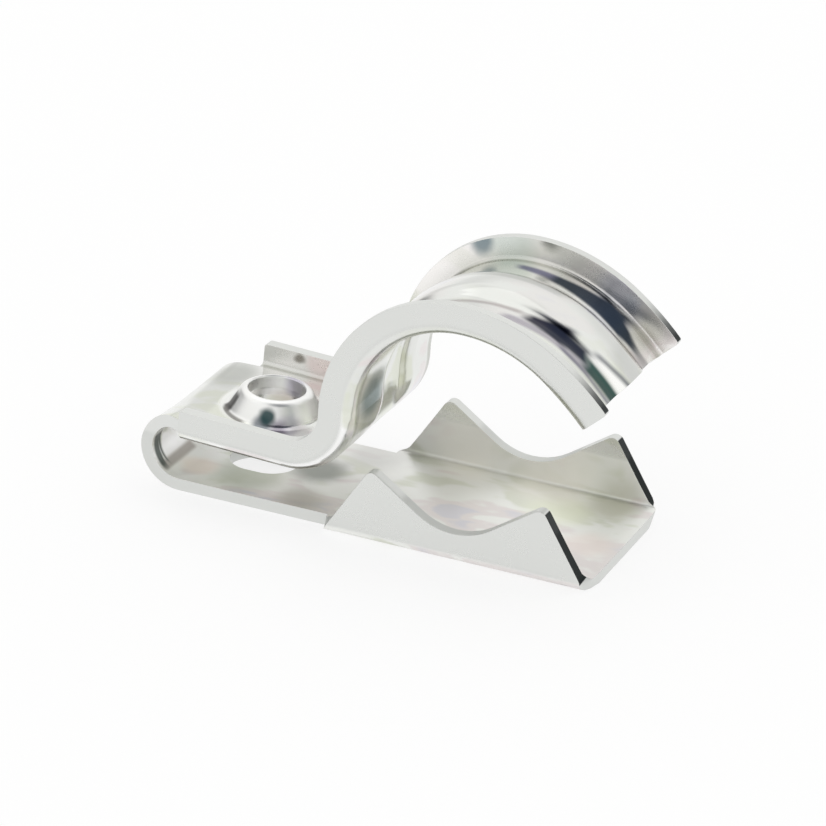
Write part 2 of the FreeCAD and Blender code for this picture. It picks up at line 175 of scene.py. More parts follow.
# %% [markdown]
# ## The flat of the arm
# The middle of the arm is a flat sheet, so it starts as a plane. Bisect cuts it into
# columns, which stand close together where the rib will rise and run through every
# bend to come, and into rows, which the walls need.

# %% A plane for the flat of the arm, cut into columns and rows
TOP = ARM_UNDER + SHEET
FOLD_TANGENT = -8.958
RING_FRONT = 6.39
ARM_ROWS = 13
bpy.ops.mesh.primitive_plane_add(size=1, location=((FOLD_TANGENT + ARM_FRONT) / 2, 0, TOP))
strip = bpy.context.object
strip.name = "folded_strip"
for role in ("zinc_plate_and_painted_light", "cut_face"):
    strip.data.materials.append(bpy.data.materials.new(role))
bpy.ops.object.transform_apply(location=True)
bpy.ops.object.mode_set(mode="EDIT")
bpy.ops.transform.resize(value=(ARM_FRONT - FOLD_TANGENT, 2 * HALF_STRIP, 1))
for y in COLUMNS:
    cut((0, y, 0), (0, 1, 0))
for row in range(ARM_ROWS + 1):
    cut((ARM_REAR + (RING_FRONT - ARM_REAR) * row / ARM_ROWS, 0, 0), (1, 0, 0))
print("flat of the arm:", len(mesh_now().faces), "faces")

# %% [markdown]
# ## Side walls of the arm
# The press turns the edges of the arm up. Each edge is stretched to the bend line, spun
# a quarter turn about it and stretched up to the height of the wall.

# %% Turn up the two walls of the arm
WALL_STEPS = 5
for side in (-1, 1):
    pick("EDGE", lambda e: e.is_boundary and near(middle(e).y, side * HALF_STRIP)
         and middle(e).x > ARM_REAR)
    stretch((0, side * (BEND_LINE - HALF_STRIP), 0))
    bend((0, side * BEND_LINE, TOP + BEND_INSIDE), 90, WALL_STEPS, axis=(side, 0, 0))
    stretch((0, 0, WALL_RISE - BEND_INSIDE))
walls = [v.co for v in mesh_now().verts if abs(v.co.y) > BEND_LINE]
print("walls reach y", round(max(c.y for c in walls), 3),
      "and z", round(max(c.z for c in walls), 3))

# %% [markdown]
# ## A ring for the collar
# The collar is round and the sheet is square, so the faces between them have to turn
# one into the other. The faces of the flat are deleted, the border of the gap is
# extruded in place, and the new loop is pulled to a circle with even steps. Its points
# keep their order round the bolt, so the faces between can't cross. The bolt slot in
# the plate is opened the same way, and its circle is then parted into two halves.

# %% Open the flat to a ring round the bolt
FOOT_RING = 6.26
RING_CUTS = 2


def round_ring(ring, radius, height, travel, centre):
    """Sets a loop of vertices evenly round a circle, or round a slot of that travel."""
    def turned(v):
        return math.atan2(v.co.y, v.co.x - centre)

    ring.sort(key=turned)
    step = 2 * math.pi / len(ring)
    first = sum(turned(v) - step * rank for rank, v in enumerate(ring)) / len(ring)
    for rank, v in enumerate(ring):
        angle = first + step * rank
        x = centre + radius * math.cos(angle) + math.copysign(travel / 2, math.cos(angle))
        v.co = (x, radius * math.sin(angle), height)


def open_ring(rows, sides, height, radius, travel=0.0, centre=0.0):
    """Opens the faces between two rows and two columns to a ring, or to a slot."""
    def inside(place, slack=0.0):
        return (near(place.z, height) and rows[0] - slack < place.x < rows[1] + slack
                and sides[0] - slack < place.y < sides[1] + slack)

    pick("FACE", lambda f: inside(middle(f)))
    bpy.ops.mesh.delete(type="FACE")
    pick("EDGE", lambda e: e.is_boundary and all(inside(v.co, 0.01) for v in e.verts))
    stretch((0, 0, 0))
    ring = [v for v in mesh_now().verts if v.select]
    round_ring(ring, radius, height, travel, centre)
    ring = {v.index for v in ring}
    pick("EDGE", lambda e: len(ring.intersection(v.index for v in e.verts)) == 1)
    bpy.ops.mesh.subdivide_edgering(number_cuts=RING_CUTS, interpolation="LINEAR")
    return len(ring)


vertices = open_ring((ARM_REAR, RING_FRONT), (-HALF_STRIP, HALF_STRIP), TOP, FOOT_RING)
print("ring for the collar:", vertices, "vertices")

# %% [markdown]
# ## The pitch of the arm
# The arm falls a little from the fold to the arch. All that is made so far turns about
# the bolt's axis. With no window open the rotate operator turns the other way, so the
# angle is negative, and the place of the front end is printed.

# %% Tip the arm forward
bpy.ops.mesh.select_all(action="SELECT")
bpy.ops.transform.rotate(value=-PITCH, orient_axis="Y", center_override=(0, 0, ARM_UNDER))


def along_arm(place):
    """Distance from the bolt axis along the flat of the arm."""
    return place.x * math.cos(PITCH) - (place.z - ARM_UNDER) * math.sin(PITCH)


front = max((v.co for v in mesh_now().verts), key=along_arm)
print("front end x", round(front.x, 3), "and z", round(front.z, 3))

# %% [markdown]
# ## The hairpin fold and the plate
# The rear edge of the arm is spun through the fold in two parts, because the real fold
# is tighter above than below. What comes out at the bottom is the end of the plate,
# which is stretched forward, past the bolt slot and through the saddle.

# %% Outline of the saddle walls, from the rear peak to the front one
SADDLE_START = 12.0
SADDLE_END = 45.8
SADDLE_MID = (SADDLE_START + SADDLE_END) / 2
LEAN = math.radians(57.8)
VEE_SLOPE = math.radians(34.6)
VEE_BOTTOM = 4.0
VEE_ROUND = 8.0
PEAK_ROUND = 1.0
DIP_STEPS, SIDE_STEPS, BROW_STEPS = 5, 3, 6


def arc(centre, radius, first, last, steps):
    """Points on an arc in the side view; angles are measured from straight up."""
    angles = [first + (last - first) * step / steps for step in range(steps + 1)]
    return [(centre[0] + radius * math.sin(a), centre[1] + radius * math.cos(a)) for a in angles]


def wall_outline():
    """Points (x, z) of the upper edge of a saddle wall: a peak, the notch and a peak."""
    vee_point = VEE_BOTTOM - VEE_ROUND * (1 / math.cos(VEE_SLOPE) - 1)
    half = (SADDLE_END - SADDLE_START) / 2
    peak = (math.tan(LEAN) * half - vee_point) / (math.tan(LEAN) + math.tan(VEE_SLOPE))
    peak_z = vee_point + math.tan(VEE_SLOPE) * peak
    share = PEAK_ROUND / (1 + math.cos(LEAN + VEE_SLOPE))
    centre = (peak - share * (math.sin(LEAN) - math.sin(VEE_SLOPE)),
              peak_z - share * (math.cos(LEAN) + math.cos(VEE_SLOPE)))
    dip = arc((0, VEE_BOTTOM + VEE_ROUND), VEE_ROUND, math.pi, math.pi - VEE_SLOPE, DIP_STEPS)
    brow = arc(centre, PEAK_ROUND, -VEE_SLOPE, LEAN, BROW_STEPS)
    side = [tuple(low + (high - low) * step / SIDE_STEPS for low, high in zip(dip[-1], brow[0]))
            for step in range(1, SIDE_STEPS)]
    half_line = dip + side + brow
    both = [(-x, z) for x, z in reversed(half_line[1:])] + half_line
    return [(SADDLE_MID + x, z) for x, z in both]


OUTLINE = wall_outline()
print(len(OUTLINE), "points; peak height", round(max(z for _, z in OUTLINE), 2))

# %% Spin the fold and stretch the plate
FOLD_MIDDLE = FOLD_LOWER
FOLD_STEPS = 16
SLOT_ROWS = 10
SLOT_LOW, SLOT_HIGH = -6.2, 4.0
PLAIN_ROW = 8.0
outline_start = OUTLINE[0][0]
outline_length = OUTLINE[-1][0] - outline_start
SADDLE_ROWS = [SADDLE_START + (SADDLE_END - SADDLE_START) * (x - outline_start) / outline_length
               for x, _ in OUTLINE]
pick("EDGE", lambda e: e.is_boundary and near(along_arm(middle(e)), FOLD_TANGENT))
bend((FOLD_BACK + FOLD_UPPER, 0, FOLD_MIDDLE), 90 + PITCH_DEGREES, FOLD_STEPS)
bend((FOLD_BACK + FOLD_LOWER, 0, FOLD_MIDDLE), 90, FOLD_STEPS)
place = FOLD_BACK + FOLD_LOWER
slot_rows = [SLOT_LOW + (SLOT_HIGH - SLOT_LOW) * row / SLOT_ROWS for row in range(SLOT_ROWS + 1)]
for x in slot_rows + [PLAIN_ROW] + SADDLE_ROWS:
    stretch((x - place, 0, 0))
    place = x
plate = [v.co for v in mesh_now().verts if v.co.z < 0.01]
print("plate at z", round(min(c.z for c in plate), 4), round(max(c.z for c in plate), 4),
      "to x", round(max(c.x for c in plate), 3))

# %% Open the bolt slot
SLOT_WIDTH = 7.0
SLOT_TRAVEL = 1.6
SLOT_SHIFT = -1.1
vertices = open_ring((SLOT_LOW, SLOT_HIGH), (COLUMNS[0], COLUMNS[-1]), 0.0,
                     SLOT_WIDTH / 2, SLOT_TRAVEL, SLOT_SHIFT)
print("ring for the slot:", vertices, "vertices")

# %% [markdown]
# ## The saddle
# The plate's edges turn up beside the pipe like the walls of the arm. The walls come up
# as plain strips in three rows, and each row is then fitted between the bend and the
# outline that the punch cuts: a peak, the notch for the pipe and a second peak.

# %% Turn up the saddle walls
WALL_ROWS = 3
SADDLE_BEND_STEPS = 6
for side in (-1, 1):
    pick("EDGE", lambda e: e.is_boundary and near(middle(e).y, side * HALF_STRIP)
         and near(middle(e).z, 0) and middle(e).x > SADDLE_START)
    stretch((0, side * (BEND_LINE - HALF_STRIP), 0))
    bend((0, side * BEND_LINE, BEND_OUTSIDE), 90, SADDLE_BEND_STEPS, axis=(side, 0, 0))
    for row in range(WALL_ROWS):
        stretch((0, 0, 1))
heights = {round(v.co.z, 2) for v in mesh_now().verts if v.co.x > SADDLE_START}
print("heights of the rows in the saddle:", sorted(heights))

# %% Fit the rows to the sloping ends and to the notch
SADDLE_CEILING = 6.0


def slope_at(z):
    """How far the sloping end of a wall stands in from the end of the saddle at a height."""
    return z / math.tan(LEAN)


def fit_wall(place):
    """Moves one vertex of a straight wall to its place under the outline."""
    column = min(range(len(SADDLE_ROWS)), key=lambda i: abs(SADDLE_ROWS[i] - place.x))
    share = (SADDLE_ROWS[column] - SADDLE_START) / (SADDLE_END - SADDLE_START)
    level = min(place.z, BEND_OUTSIDE)
    low, high = SADDLE_START + slope_at(level), SADDLE_END - slope_at(level)
    place.x = low + share * (high - low)
    if place.z > BEND_OUTSIDE + 0.5:
        rise = round(place.z - BEND_OUTSIDE) / WALL_ROWS
        place.x += (OUTLINE[column][0] - place.x) * rise
        place.z = BEND_OUTSIDE + (OUTLINE[column][1] - BEND_OUTSIDE) * rise


for v in mesh_now().verts:
    off_plate = v.co.x > SADDLE_START - 0.01 and abs(v.co.y) > HALF_STRIP + 0.01
    if off_plate and v.co.z < SADDLE_CEILING:
        fit_wall(v.co)
bmesh.update_edit_mesh(strip.data)
print("saddle top", round(max(v.co.z for v in mesh_now().verts if v.co.x > SADDLE_START), 3))

# %% [markdown]
# ## The arch
# From the front of the arm the whole section, walls and all, is spun up through the
# swan bend, stretched a little and spun on over the pipe in three arcs that open
# towards the free end.

# %% Spin the arch
SWAN_STEPS = 31
ARCS = [(BACK_CENTRE, 90, 30), (CROWN_CENTRE, CROWN_TURN, 14), (LIP_CENTRE, LIP_TURN, 6)]
pick("EDGE", lambda e: e.is_boundary and near(along_arm(middle(e)), ARM_FRONT)
     and all(near(along_arm(v.co), ARM_FRONT) for v in e.verts))
bend((SWAN_CENTRE[0], 0, SWAN_CENTRE[1]), SWAN_TURN, SWAN_STEPS)
stretch((0, 0, RISER))
for (x, z), degrees, steps in ARCS:
    bend((x, 0, z), degrees, steps, axis=(0, 1, 0))
tip = [v.co for v in mesh_now().verts if v.select]
print("free end x", round(min(c.x for c in tip), 3), round(max(c.x for c in tip), 3))

# %% [markdown]
# ## The rib
# A rib runs round the arch, a little to one side of the middle, and fades out in the
# swan bend. Every vertex gets a share of the rib's height as a weight, from where it
# lies across the strip and round the bend, and a Displace modifier raises the sheet
# along its normals by those weights. The weights are cleared afterwards, because the
# finished strip has no use for them and its mesh isn't quite valid while it keeps them.

# %% Weigh and raise the rib
WELD = 0.0005
RIB_STARTS, RIB_FULL = 38.0, 86.0
OVER_PLATE = 6.5


def smooth_step(value, low, high):
    """0 below low, 1 above high and a smooth way between."""
    share = min(max((value - low) / (high - low), 0.0), 1.0)
    return share * share * (3 - 2 * share)


def rib_share(place):
    """Share of the rib's height at a vertex: across the strip, times how far it has risen."""
    away = abs(place.y - RIB_MIDDLE)
    across = min(RIB_SHARES, key=lambda pair: abs(pair[0] - away))
    if abs(across[0] - away) > 0.01 or place.x < SWAN_CENTRE[0] - 1 or place.z < OVER_PLATE:
        return 0.0
    turned = 180.0
    if place.z < SWAN_CENTRE[1]:
        down = SWAN_CENTRE[1] - place.z
        turned = math.degrees(math.atan2(place.x - SWAN_CENTRE[0], down))
    return across[1] * smooth_step(turned, RIB_STARTS, RIB_FULL)


def on_the_flat(face):
    """True for a face of the arm just before the swan bend, between the walls."""
    spot = face.calc_center_median()
    return (near(along_arm(spot), ARM_FRONT - 0.2, 0.15) and abs(spot.y) < HALF_STRIP
            and OVER_PLATE + 0.5 < spot.z < TOP + 0.5)


bpy.ops.mesh.select_all(action="SELECT")
bpy.ops.mesh.remove_doubles(threshold=WELD)
bpy.ops.mesh.normals_make_consistent(inside=False)
if next(f for f in mesh_now().faces if on_the_flat(f)).normal.z < 0:
    bpy.ops.mesh.flip_normals()
bpy.ops.object.mode_set(mode="OBJECT")
rib = strip.vertex_groups.new(name="rib")
for v in strip.data.vertices:
    share = rib_share(v.co)
    if share > 0:
        rib.add([v.index], share, "REPLACE")


def apply_modifier(kind, name, **settings):
    """Adds a modifier with these settings, applies it and counts the faces."""
    modifier = strip.modifiers.new(name, kind)
    for key, value in settings.items():
        setattr(modifier, key, value)
    bpy.context.view_layer.objects.active = strip
    bpy.ops.object.modifier_apply(modifier=name)
    return len(strip.data.polygons)


apply_modifier("DISPLACE", "rib", direction="NORMAL", mid_level=0.0, strength=RIB_RISE,
               vertex_group="rib")
strip.vertex_groups.clear()
print("top of the rib", round(max(v.co.z for v in strip.data.vertices), 3))

# %% [markdown]
# ## Corners of the arm walls
# The four corners of the arm walls are rounded while the sheet is still a skin, by a
# bevel on the corner vertices alone.

# %% Round the corners of the arm walls
CORNER_ROUND = 0.4
TIP_X, TIP_Z = 44.0, 15.0


def at_wall_corner(v):
    """True for a free corner of a wall, at the rear of the arm or at the tip of the arch."""
    at_rear = near(along_arm(v.co), ARM_REAR, 0.01) and v.co.z > TOP
    at_tip = v.co.x > TIP_X and v.co.z > TIP_Z
    return (v.is_boundary and len(v.link_edges) == 2 and abs(v.co.y) > BEND_LINE + 0.4
            and (at_rear or at_tip))


bpy.ops.object.mode_set(mode="EDIT")
print(pick("VERT", at_wall_corner), "corners")
bpy.ops.mesh.bevel(affect="VERTICES", offset=CORNER_ROUND, segments=3)
bpy.ops.object.mode_set(mode="OBJECT")

# %% [markdown]
# ## Thickness
# Solidify gives the skin the thickness of the sheet, inwards from the outside of the
# hairpin, and closes its edges. An even offset keeps the sheet as thick in the bends.

# %% Give the sheet its thickness
faces = apply_modifier("SOLIDIFY", "sheet", thickness=SHEET, offset=-1, use_even_offset=True,
                       use_quality_normals=True, use_rim=True, material_offset_rim=1)
print(faces, "faces with both skins and the edges")

# %% [markdown]
# ## The collar
# A punch draws the sheet up round the bolt and thins it, so the collar can't have the
# even thickness of the rest. The edge faces of its ring are deleted, and the upper loop
# is stretched and scaled through the collar's profile: up the cone, over the rim, down
# the hole and out to its mouth, where it is bridged to the lower loop.

# %% Profile of the collar, as radius and height over the pipe side of the arm
CONE_FOOT, CONE_TOP, CONE_RISE = 5.8, 4.2, 2.75
CONE_LEAN = math.atan2(CONE_RISE, CONE_FOOT - CONE_TOP)
FOOT_ROUND = 1.0
RIM_ROUND = 1.1
LIP_ROUND = 0.25
RIM = SHEET + CONE_RISE
HOLE = 3.5
MOUTH = (4.7, 0.0)
NECK = RIM - 1.6
ROUND_STEPS, RIM_STEPS, LIP_STEPS = 6, 7, 4


def collar_profile():
    """Radius and height of every ring, from the foot of the cone to the mouth below."""
    foot_from = CONE_FOOT + FOOT_ROUND * math.tan(CONE_LEAN / 2)
    rim_from = CONE_TOP - RIM_ROUND * math.tan(CONE_LEAN / 2)
    foot = [(foot_from - FOOT_ROUND * math.sin(a), SHEET + FOOT_ROUND * (1 - math.cos(a)))
            for a in (CONE_LEAN * step / ROUND_STEPS for step in range(1, ROUND_STEPS + 1))]
    rim = [(rim_from + RIM_ROUND * math.sin(a), RIM - RIM_ROUND * (1 - math.cos(a)))
           for a in (CONE_LEAN * step / RIM_STEPS for step in reversed(range(RIM_STEPS + 1)))]
    lip = [(HOLE + LIP_ROUND * (1 - math.sin(a)), RIM - LIP_ROUND * (1 - math.cos(a)))
           for a in (math.pi / 2 * step / LIP_STEPS for step in range(LIP_STEPS + 1))]
    return foot + rim + lip + [(HOLE, NECK + 0.1), (HOLE + 0.05, NECK - 0.1), MOUTH]


PROFILE = collar_profile()
print(len(PROFILE), "rings in the collar, rim at", RIM)

# %% Draw the collar
BOLT_AXIS = Vector((math.sin(PITCH), 0, math.cos(PITCH)))
ARM_FOOT = Vector((0, 0, ARM_UNDER))


def round_the_bolt(spot):
    """Radius from the bolt's axis and height over the pipe side of the arm."""
    away = spot - ARM_FOOT
    height = away.dot(BOLT_AXIS)
    return (away - height * BOLT_AXIS).length, height


def in_ring_edge(face):
    """True for the edge faces of the ring, which the collar takes the place of."""
    radius, over = round_the_bolt(middle(face))
    return near(radius, FOOT_RING, 0.05) and near(over, SHEET / 2, 0.1)


def at_ring(edge, height):
    """True for an edge of the ring at a height over the pipe side."""
    return all(near(radius, FOOT_RING, 0.02) and near(over, height, 0.05)
               for radius, over in (round_the_bolt(v.co) for v in edge.verts))


bpy.ops.object.mode_set(mode="EDIT")
pick("FACE", in_ring_edge)
bpy.ops.mesh.delete(type="FACE")
print(pick("EDGE", lambda e: at_ring(e, SHEET)), "edges in the upper loop")
radius, height = FOOT_RING, SHEET
for ring_radius, ring_height in PROFILE:
    stretch(BOLT_AXIS * (ring_height - height))
    bpy.ops.transform.resize(value=(ring_radius / radius,) * 3,
                             center_override=ARM_FOOT + BOLT_AXIS * ring_height)
    radius, height = ring_radius, ring_height
last = {v.index for v in mesh_now().verts if v.select}
pick("EDGE", lambda e: at_ring(e, 0.0) or all(v.index in last for v in e.verts))
bpy.ops.mesh.bridge_edge_loops()
bpy.ops.mesh.select_all(action="SELECT")
bpy.ops.mesh.normals_make_consistent(inside=False)
bpy.ops.object.mode_set(mode="OBJECT")
print(len(strip.data.polygons), "faces")

# %% [markdown]
# ## What pressing does to a strip
# A pressed strip isn't drawn with a ruler. Turning up the walls dishes the end of the
# hairpin, and the corners of the plate draw in where the saddle bends begin. Towards
# the free end the walls grow a little in height and the sheet between them hangs back.
# The flanges of the arch get thinner towards their edges.

# %% Dish the fold, draw in the corners, and shape the free end
DISH_MIDDLE, DISH_REACH, DISH_DEEP = -9.6, 2.6, 3.0
DISH_SINK, DISH_SWING, DISH_FAR_SHARE = 0.42, 0.95, 0.3
DRAW_REACH, DRAW_IN = 2.5, 0.75
DRAW_FROM_Y, DRAW_FULL_Y = 8.6, 11.5
DRAW_FADES_Z, DRAW_ENDS_Z = 0.4, 1.9
TIP_STARTS_X, WALLS_GROW_FROM = 35.0, 28.0
WALL_GROWTH, TIP_HANG, HANG_FADES_Y = 0.25, 0.3, 8.5
FLANGE_ABOVE_Z, FLANGE_THINNED, THIN_FROM, THIN_FULL = 17.0, 0.3, 15.0, 17.0
WALL_INSIDE = HALF_WIDTH - SHEET


def dish_fold(place):
    """Sinks the middle of the sheet before the fold and lifts its near corner."""
    if place.x < ARM_REAR and place.z > FOLD_MIDDLE:
        corner = min((place.y / HALF_STRIP) ** 2, 1.0) * (1.0 if place.y < 0 else DISH_FAR_SHARE)
        here = math.exp(-((place.x - DISH_MIDDLE) / DISH_REACH) ** 2)
        here *= smooth_step(place.z, FOLD_MIDDLE, FOLD_MIDDLE + DISH_DEEP)
        place.z += here * (DISH_SWING * corner - DISH_SINK)


def draw_in_corner(place):
    """Pulls the end of the plate back where the saddle bends begin."""
    if place.x > SADDLE_END - DRAW_REACH and place.z < BEND_OUTSIDE + 0.5:
        corner = smooth_step(abs(place.y), DRAW_FROM_Y, DRAW_FULL_Y)
        end = smooth_step(place.x, SADDLE_END - DRAW_REACH, SADDLE_END)
        low = 1 - smooth_step(place.z, DRAW_FADES_Z, DRAW_ENDS_Z)
        place.x -= DRAW_IN * corner * end * low


def shape_free_end(place):
    """Lets the walls grow towards the tip of the arch, and the sheet between them hang back."""
    if place.x > TIP_STARTS_X and place.z > TIP_Z:
        away = Vector((place.x - LIP_CENTRE[0], 0, place.z - LIP_CENTRE[1]))
        turn = math.degrees(math.atan2(away.x, away.z))
        late = smooth_step(turn, CROWN_TURN, ARCH_END)
        if abs(place.y) > WALL_INSIDE - 0.1:
            out = smooth_step(away.length, LIP_UNDER + SHEET + 1, LIP_UNDER + WALL_TOP)
            grown = WALL_GROWTH * out * smooth_step(turn, WALLS_GROW_FROM, ARCH_END)
            place += away.normalized() * grown
        back = Vector((away.z, 0, -away.x)).normalized()
        between_walls = 1 - smooth_step(abs(place.y), HANG_FADES_Y, WALL_INSIDE)
        place -= back * TIP_HANG * late * between_walls


def thin_flange(place):
    """Thins the flanges of the arch towards their edges, where the sheet was stretched."""
    if place.z > FLANGE_ABOVE_Z and near(abs(place.y), WALL_INSIDE, 0.1):
        away = Vector((place.x - BACK_CENTRE[0], place.z - BACK_CENTRE[1]))
        thinned = smooth_step(away.length, THIN_FROM, THIN_FULL)
        place.y += math.copysign(FLANGE_THINNED, place.y) * thinned


for v in strip.data.vertices:
    for press in (dish_fold, draw_in_corner, shape_free_end, thin_flange):
        press(v.co)
print("pressed strip reaches from x", round(min(v.co.x for v in strip.data.vertices), 2),
      "to", round(max(v.co.x for v in strip.data.vertices), 2))

# %% [markdown]
# ## Cut edges
# Sheared edges are never sharp. A small bevel rounds every edge between the skins and
# the cut faces, and its highlight is what makes sheet metal read as real.

# %% Round the cut edges and scale the strip down to metres
CUT_ROUND = 0.24
CUT_ANGLE = math.radians(48)
apply_modifier("BEVEL", "cut edges", width=CUT_ROUND, segments=3, limit_method="ANGLE",
               angle_limit=CUT_ANGLE, use_clamp_overlap=True)
bpy.ops.object.select_all(action="DESELECT")
strip.select_set(True)
bpy.ops.object.shade_smooth()
apply_modifier("WEIGHTED_NORMAL", "even shading", keep_sharp=True, weight=60)
strip.scale = (MM, MM, MM)
bpy.ops.object.transform_apply(location=False, rotation=False, scale=True)
triangles = sum(len(p.vertices) - 2 for p in strip.data.polygons)
print(triangles, "triangles")

# %% Remember which faces are cut faces, and let the strip ride in the frame
cut_mark = strip.data.attributes.new("cut_face", "FLOAT", "FACE")
for face, mark in zip(strip.data.polygons, cut_mark.data):
    mark.value = float(face.material_index == 1)
    face.material_index = 0
strip.data.materials.pop(index=1)
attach(strip, "root")
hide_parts("clip_strap")
cut_faces = sum(mark.value for mark in cut_mark.data)
print(round(100 * cut_faces / len(cut_mark.data)), "percent of the faces are cut faces")

# %% [markdown]
# ## A small language for shader maths
# A finish is mostly arithmetic on patterns. This class wraps one output socket of a
# node, so that a plain Python expression such as 1 - mask * 0.5 adds the nodes it needs.

# %% One socket with Python's operators on it
class Wire:
    """An output socket that takes part in Python expressions."""

    def __init__(self, tree, socket):
        self.tree = tree
        self.socket = socket

    def node(self, kind, settings=(), out=0, inputs=()):
        """Adds a node to the tree that this wire lies in."""
        return add_node(self.tree, kind, settings, out, inputs)

    def maths(self, operation, first, second=0.0):
        """One step of arithmetic on two values."""
        return self.node("ShaderNodeMath", {"operation": operation}, inputs={0: first, 1: second})

    def __add__(self, other):
        return self.maths("ADD", self, other)

    def __sub__(self, other):
        return self.maths("SUBTRACT", self, other)

    def __rsub__(self, other):
        return self.maths("SUBTRACT", other, self)

    def __mul__(self, other):
        return self.maths("MULTIPLY", self, other)

    def __truediv__(self, other):
        return self.maths("DIVIDE", self, other)

    def __rtruediv__(self, other):
        return self.maths("DIVIDE", other, self)

    def __abs__(self):
        return self.maths("ABSOLUTE", self)

    __radd__ = __add__
    __rmul__ = __mul__

    def between(self, low, high):
        """0 below low, 1 above high and a smooth ramp between, or the reverse if low is more."""
        return self.node("ShaderNodeMapRange", {"interpolation_type": "SMOOTHSTEP"},
                         inputs={"Value": self, "From Min": low, "From Max": high})

    def mix(self, first, second):
        """A colour that goes from first to second as this value goes from 0 to 1."""
        return self.node("ShaderNodeMix", {"data_type": "RGBA"}, 2, {0: self, 6: first, 7: second})


def add_node(tree, kind, settings=(), out=0, inputs=()):
    """Adds a node, sets it up and fills its sockets with numbers or with other wires."""
    node = tree.nodes.new(kind)
    for key, value in dict(settings).items():
        setattr(node, key, value)
    for place, value in dict(inputs).items():
        if isinstance(value, Wire):
            tree.links.new(value.socket, node.inputs[place])
        else:
            node.inputs[place].default_value = value
    return Wire(tree, node.outputs[out])

# %% [markdown]
# ## Bright zinc plate
# The clip is zinc plated and clear passivated. That leaves a bright satin metal with a
# film so thin that it shows colours: olive, pink and lilac, soft as breath on a mirror.
# It is thickest where the bath drained slowly, inside the channels. A picture of real
# plate could be wrapped on, but it would not follow the folds. Here the colours come
# from patterns in millimetres of the strip's own space, so they run on round the bends.

# %% Places, directions and patterns that the finish is made from
zinc = bpy.data.materials["zinc_plate_and_painted_light"]
zinc.use_nodes = True
tree = zinc.node_tree
shader = tree.nodes["Principled BSDF"]
shader.inputs["Metallic"].default_value = 1.0
point = add_node(tree, "ShaderNodeTexCoord", out="Object")
in_mm = point.node("ShaderNodeVectorMath", {"operation": "SCALE"},
                   inputs={0: point, "Scale": 1 / MM})
cut_face = add_node(tree, "ShaderNodeAttribute", {"attribute_name": "cut_face"}, "Fac")


def parted(vector):
    """The x, y and z of a vector as three wires."""
    split = vector.node("ShaderNodeSeparateXYZ", inputs={0: vector})
    return [Wire(tree, socket) for socket in split.socket.node.outputs]


x_mm, y_mm, z_mm = parted(in_mm)
faces_x, _, faces_z = parted(add_node(tree, "ShaderNodeNewGeometry", out="Normal"))


def noise(size, detail=2.0, roughness=0.5, distortion=0.0, grain=(1, 1, 1)):
    """A soft pattern about 0.5 with lumps of size millimetres, longer where grain is less."""
    place = in_mm.node("ShaderNodeVectorMath", {"operation": "MULTIPLY"},
                       inputs={0: in_mm, 1: grain})
    return place.node("ShaderNodeTexNoise", inputs={
        "Vector": place, "Scale": 1 / size, "Detail": detail, "Roughness": roughness,
        "Distortion": distortion})


wander = noise(3.0) - 0.5


def patch(x, y, z, reach, soft=0.7, ragged=1.5):
    """1 at a place in millimetres, fading to 0 at reach, with an edge that wanders."""
    away = in_mm.node("ShaderNodeVectorMath", {"operation": "DISTANCE"}, "Value",
                      {0: in_mm, 1: (x, y, z)})
    return (away + wander * ragged).between(reach, reach * (1 - soft))


def band(value, low, high, soft):
    """1 between low and high, with edges that are soft on both sides."""
    return value.between(low - soft, low + soft) * (1 - value.between(high - soft, high + soft))


print(len(tree.nodes), "nodes give places, directions and patterns")

# %% Where each kind of surface lies
outer_wall = abs(y_mm).between(HALF_WIDTH - 0.3, HALF_WIDTH - 0.05)
inside = 1 - outer_wall
channel = inside * (1 - z_mm.between(6.5, 7.2))
outer_skin = z_mm.between(20.0, 21.0) * inside
bolt_square = x_mm * x_mm + y_mm * y_mm
collar = bolt_square.between(50.0, 40.0) * z_mm.between(8.5, 9.0)
far_flange = y_mm.between(10.3, 10.8) * inside
near_wall = inside * y_mm.between(-10.2, -10.6) * band(z_mm, 7.5, 16.0, 0.5)
fold_end = channel * x_mm.between(-4.0, -7.0)
print(len(tree.nodes), "nodes with the masks")

# %% The film and its colours
BRIGHT = (0.74, 0.75, 0.728, 1)
FRESH = (0.80, 0.81, 0.785, 1)
PALE_PAINTED_LIGHT = (0.98, 0.98, 0.97, 1)
WHITE = (1.0, 1.0, 1.0, 1)
CREAM_PAINTED_REFLECTION = (1.0, 0.985, 0.93, 1)
coarse_film = noise(10.0, distortion=1.0, grain=(0.6, 1, 1))
fine_film = noise(3.5, distortion=0.6, grain=(0.5, 1, 1))
film = coarse_film * 0.7 + fine_film * 0.3
tinted = (1 - z_mm.between(23.0, 25.0) * 0.6) * inside
# The colour is built up in one value: the film's own tints together with painted reflections,
# painted highlights and painted shade.
plating_and_painted_light = inside.mix(BRIGHT, FRESH)
# Painted light: everything below the arm is painted lighter, which lifts the shade under the arm
# and brightens the reflections in the saddle.
plating_and_painted_light = channel.mix(plating_and_painted_light, (0.91, 0.915, 0.885, 1))
plating_and_painted_light = near_wall.mix(plating_and_painted_light, (0.99, 0.99, 0.98, 1))
# Painted light: by the fold, under the arm, the plate is painted paler still, to lift the shade
# there.
plating_and_painted_light = fold_end.mix(plating_and_painted_light, PALE_PAINTED_LIGHT)
plating_and_painted_light = (far_flange * outer_skin).mix(plating_and_painted_light, (0.94, 0.915, 0.90, 1))
plating_and_painted_light = (film.between(0.47, 0.40) * tinted * 0.8).mix(plating_and_painted_light, (0.74, 0.76, 0.66, 1))
plating_and_painted_light = (film.between(0.52, 0.58) * tinted * 0.7).mix(plating_and_painted_light, (0.80, 0.74, 0.735, 1))
plating_and_painted_light = (film.between(0.60, 0.66) * tinted * 0.7).mix(plating_and_painted_light, (0.70, 0.70, 0.76, 1))
